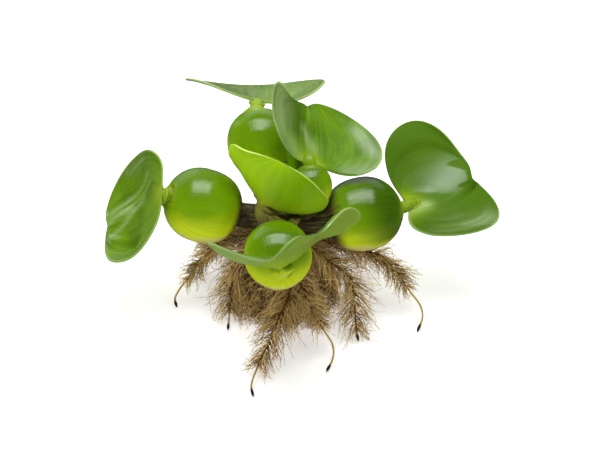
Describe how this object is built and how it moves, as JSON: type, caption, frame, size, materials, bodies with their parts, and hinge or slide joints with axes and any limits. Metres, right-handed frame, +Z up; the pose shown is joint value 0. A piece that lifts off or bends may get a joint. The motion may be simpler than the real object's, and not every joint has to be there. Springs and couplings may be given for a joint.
{
  "type": "water hyacinth plant",
  "caption": "Floating pond plant as picked: rosette of bulbous leaf stalks with cupped round blades on a short crown, standing on its feathery roots.",
  "frame": {"origin": "on the surface that the plant stands on, straight under the crown, at the middle of the root tuft's flat foot", "axes": "+Z up; +X to the right and +Y away from the camera of the picture, X being the longest way across the rosette"},
  "size_m": [0.1843, 0.1527, 0.1145],
  "materials": {
    "float": "living green, satin skin with fine lengthwise fibres, yellower underneath",
    "blade": "waxy mid-green leaf with fine arching veins and a pale rim",
    "young_leaf": "thin yellow-green young leaf",
    "crown": "dark brown fibrous leaf bases",
    "root": "brown feathery roots, matte"
  },
  "bodies": {
    "root": {"crown": "crown", "stalk_left": "float", "stalk_right": "float", "stalk_front": "float", "stalk_back": "float", "stalk_centre": "float", "stalk_young": "young_leaf", "bud": "young_leaf", "blade_left": "blade", "blade_right": "blade", "blade_front": "blade", "blade_back": "blade", "blade_centre": "blade", "blade_young": "young_leaf", "root_tuft": "root", "root_outer_left": "root", "root_left": "root", "root_front": "root", "root_front_right": "root", "root_right": "root", "root_outer_right": "root", "root_left_back": "root", "root_back_left": "root", "root_back": "root", "root_back_right": "root", "root_right_back": "root"}
  },
  "joints": []
}
